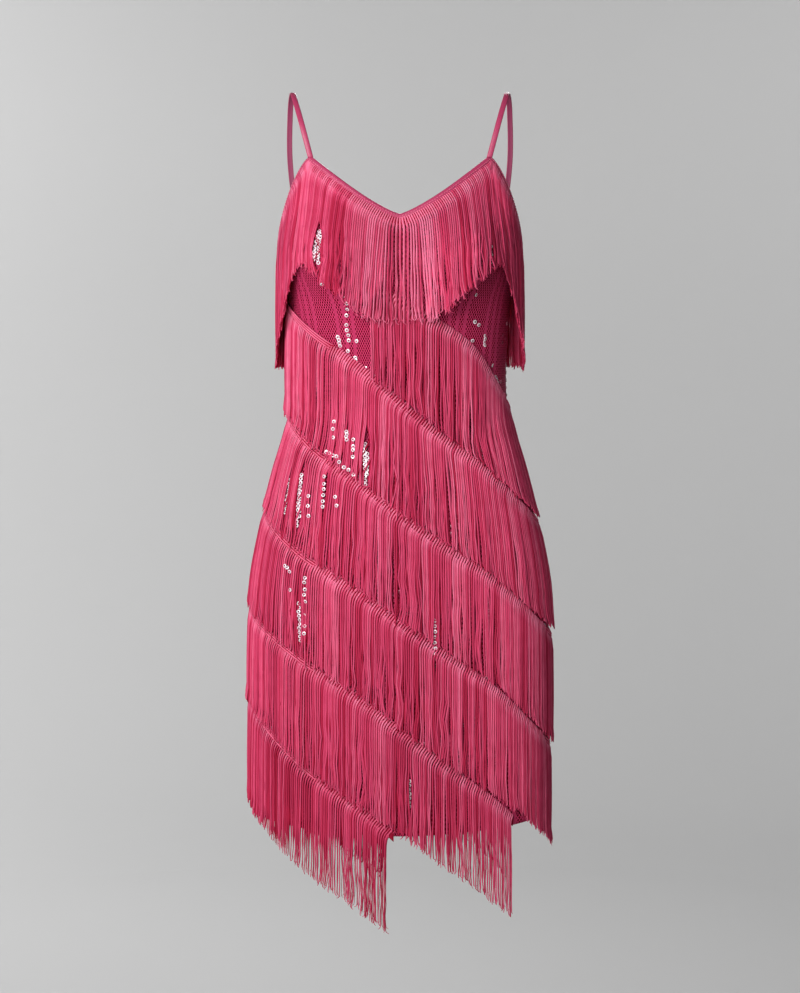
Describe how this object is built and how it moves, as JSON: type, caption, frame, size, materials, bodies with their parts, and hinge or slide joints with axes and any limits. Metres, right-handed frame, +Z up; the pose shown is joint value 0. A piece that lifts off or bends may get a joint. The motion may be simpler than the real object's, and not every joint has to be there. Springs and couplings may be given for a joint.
{
  "type": "fringe dance dress",
  "caption": "Sleeveless raspberry pink dance dress with a V neck, thin straps and slanting rows of long hanging fringe over sequinned mesh.",
  "frame": {"origin": "midpoint between the tops of the two shoulder straps", "axes": "+Z up, -Y towards the front of the dress, +X to the right as seen from the front"},
  "size_m": [0.3661, 0.2515, 0.97],
  "materials": {
    "mesh": "satin",
    "satin": "satin",
    "fringe": "satin"
  },
  "bodies": {
    "root": {"front_panel": "mesh", "back_panel": "mesh", "binding_front": "satin", "binding_back": "satin", "strap_left": "satin", "strap_right": "satin", "fringe_bust_front": "fringe", "fringe_bust_back": "fringe", "fringe_tier_1": "fringe", "fringe_tier_2": "fringe", "fringe_tier_3": "fringe", "fringe_tier_4": "fringe", "fringe_tier_5": "fringe", "fringe_tier_6": "fringe"}
  },
  "joints": []
}
